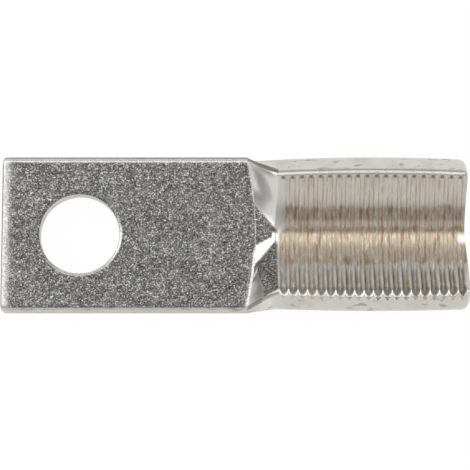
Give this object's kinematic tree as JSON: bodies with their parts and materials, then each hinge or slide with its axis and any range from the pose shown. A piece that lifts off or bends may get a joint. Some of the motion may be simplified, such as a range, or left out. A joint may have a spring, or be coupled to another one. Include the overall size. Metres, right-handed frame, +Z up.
{
  "type": "open-barrel cable lug",
  "caption": "Tinned copper cable lug formed from one strip: flat palm with a round stud hole, stepped shoulder and an open dished barrel with cross serrations.",
  "frame": {"origin": "centre of the stud hole on the palm's underside", "axes": "+X along the strip towards the cable, +Z up along the stud hole, +Y across the strip"},
  "size_m": [0.06, 0.02, 0.0064],
  "materials": {
    "tinned_copper": "satin"
  },
  "bodies": {
    "root": {"lug_body": "tinned_copper"}
  },
  "joints": []
}
